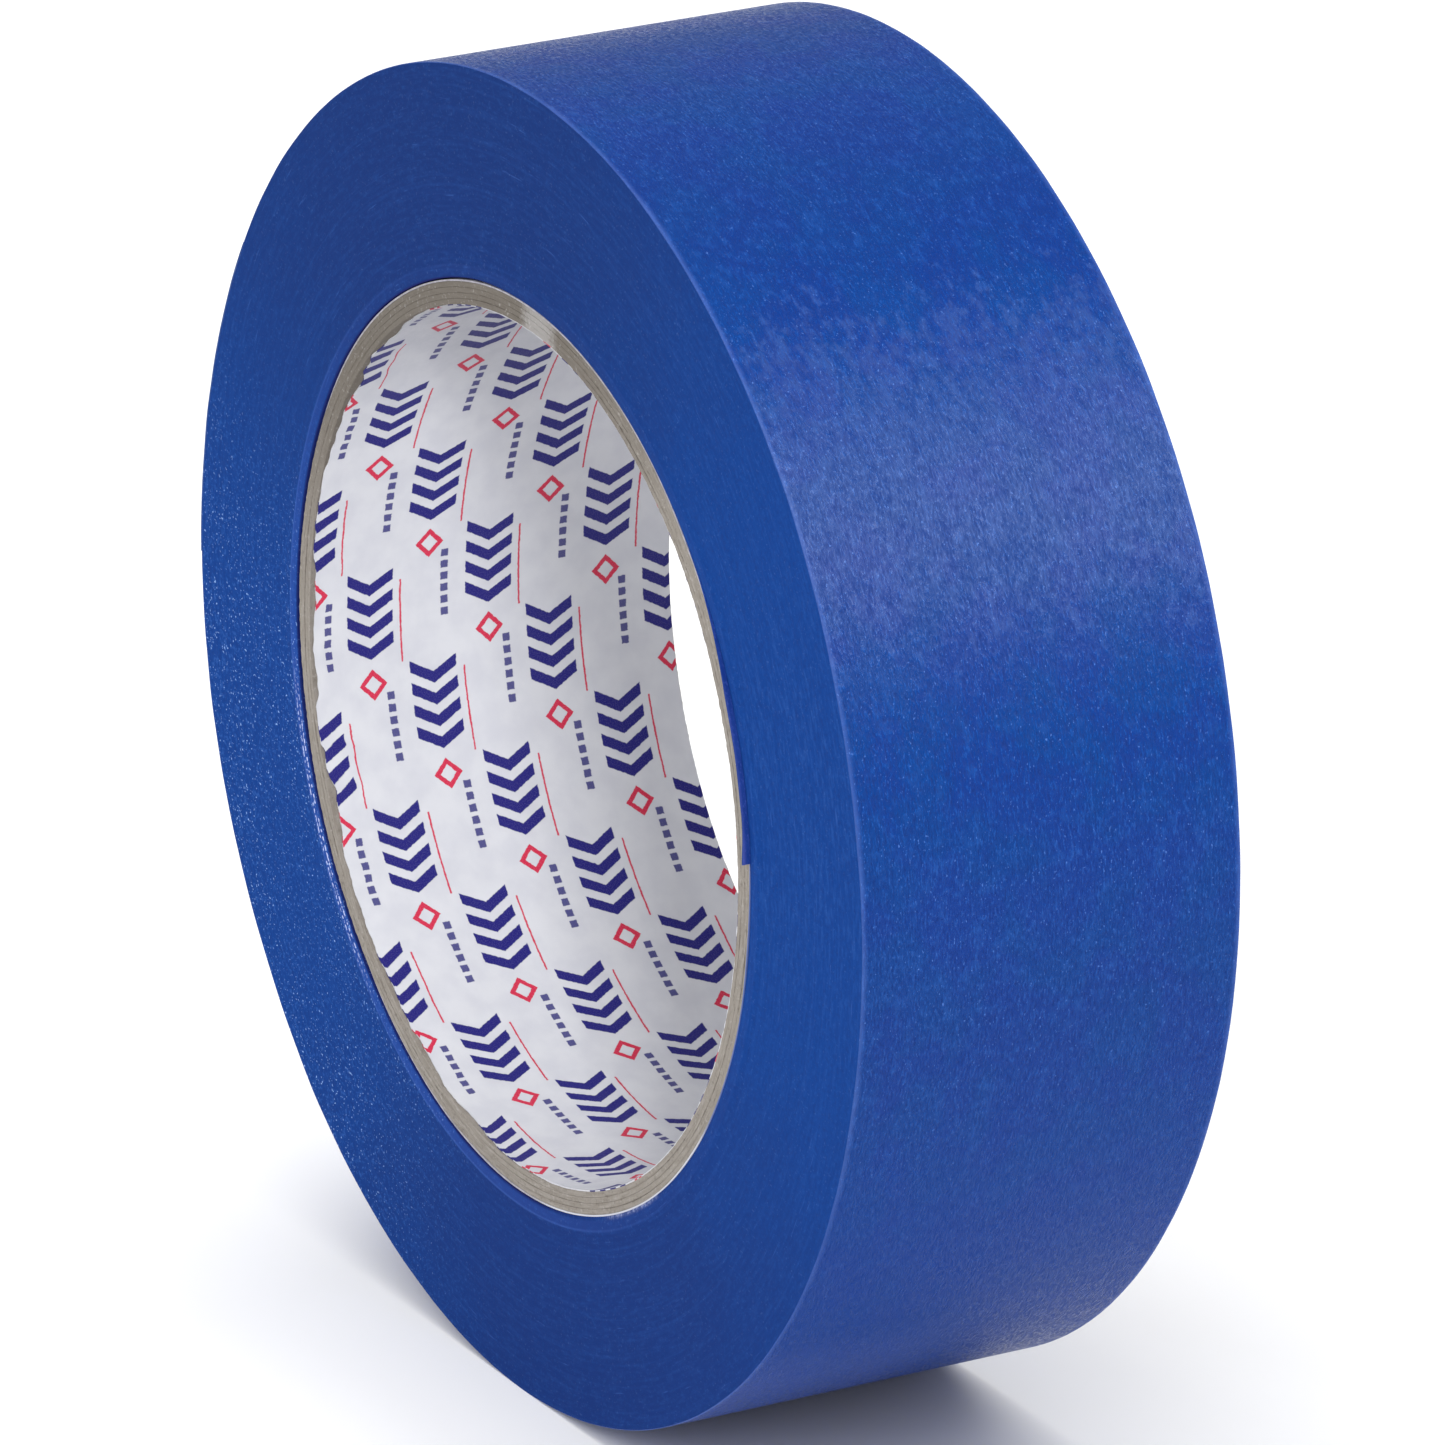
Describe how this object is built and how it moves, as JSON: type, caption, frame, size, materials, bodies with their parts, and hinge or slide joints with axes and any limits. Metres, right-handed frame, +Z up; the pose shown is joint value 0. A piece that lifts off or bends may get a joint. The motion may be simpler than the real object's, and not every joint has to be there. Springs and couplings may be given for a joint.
{
  "type": "masking tape roll",
  "caption": "Roll of blue crepe-paper masking tape wound on a laminated paper core with a printed liner; its free end peels off the roll.",
  "frame": {"origin": "centre of the core's bore, midway across the roll's width", "axes": "+Y along the bore axis, away from the side with the start of the strip; +Z up, with the roll standing on its rim; the strip ends on the -X side"},
  "size_m": [0.1179, 0.0367, 0.1179],
  "materials": {
    "blue_crepe": "satin",
    "chipboard": "matte",
    "white_paper": "matte",
    "printed_liner": "gloss"
  },
  "bodies": {
    "roll": {"core_liner": "printed_liner", "core_ply_1": "chipboard", "core_ply_2": "chipboard", "core_ply_3": "chipboard", "core_ply_4": "chipboard", "core_wrap": "white_paper", "tape_start": "blue_crepe", "wound_tape": "blue_crepe"},
    "end_1": {"tape_end_1": "blue_crepe"},
    "end_2": {"tape_end_2": "blue_crepe"},
    "end_3": {"tape_end_3": "blue_crepe"},
    "end_4": {"tape_end_4": "blue_crepe"}
  },
  "joints": [
    {"name": "peel_1", "type": "hinge", "parent": "roll", "child": "end_1", "pos_m": [-0.05004, 0, 0.03125], "axis": [0, 1, 0], "range_deg": [0, 40]},
    {"name": "peel_2", "type": "hinge", "parent": "end_1", "child": "end_2", "pos_m": [-0.0539, 0, 0.02399], "axis": [0, 1, 0], "range_deg": [0, 28]},
    {"name": "peel_3", "type": "hinge", "parent": "end_2", "child": "end_3", "pos_m": [-0.05672, 0, 0.01625], "axis": [0, 1, 0], "range_deg": [0, 16]},
    {"name": "peel_4", "type": "hinge", "parent": "end_3", "child": "end_4", "pos_m": [-0.05843, 0, 0.00821], "axis": [0, 1, 0], "range_deg": [0, 8]}
  ],
  "couplings": [
    {"joint": "peel_2", "follows": "peel_1", "ratio": 0.7},
    {"joint": "peel_3", "follows": "peel_1", "ratio": 0.4},
    {"joint": "peel_4", "follows": "peel_1", "ratio": 0.2}
  ]
}
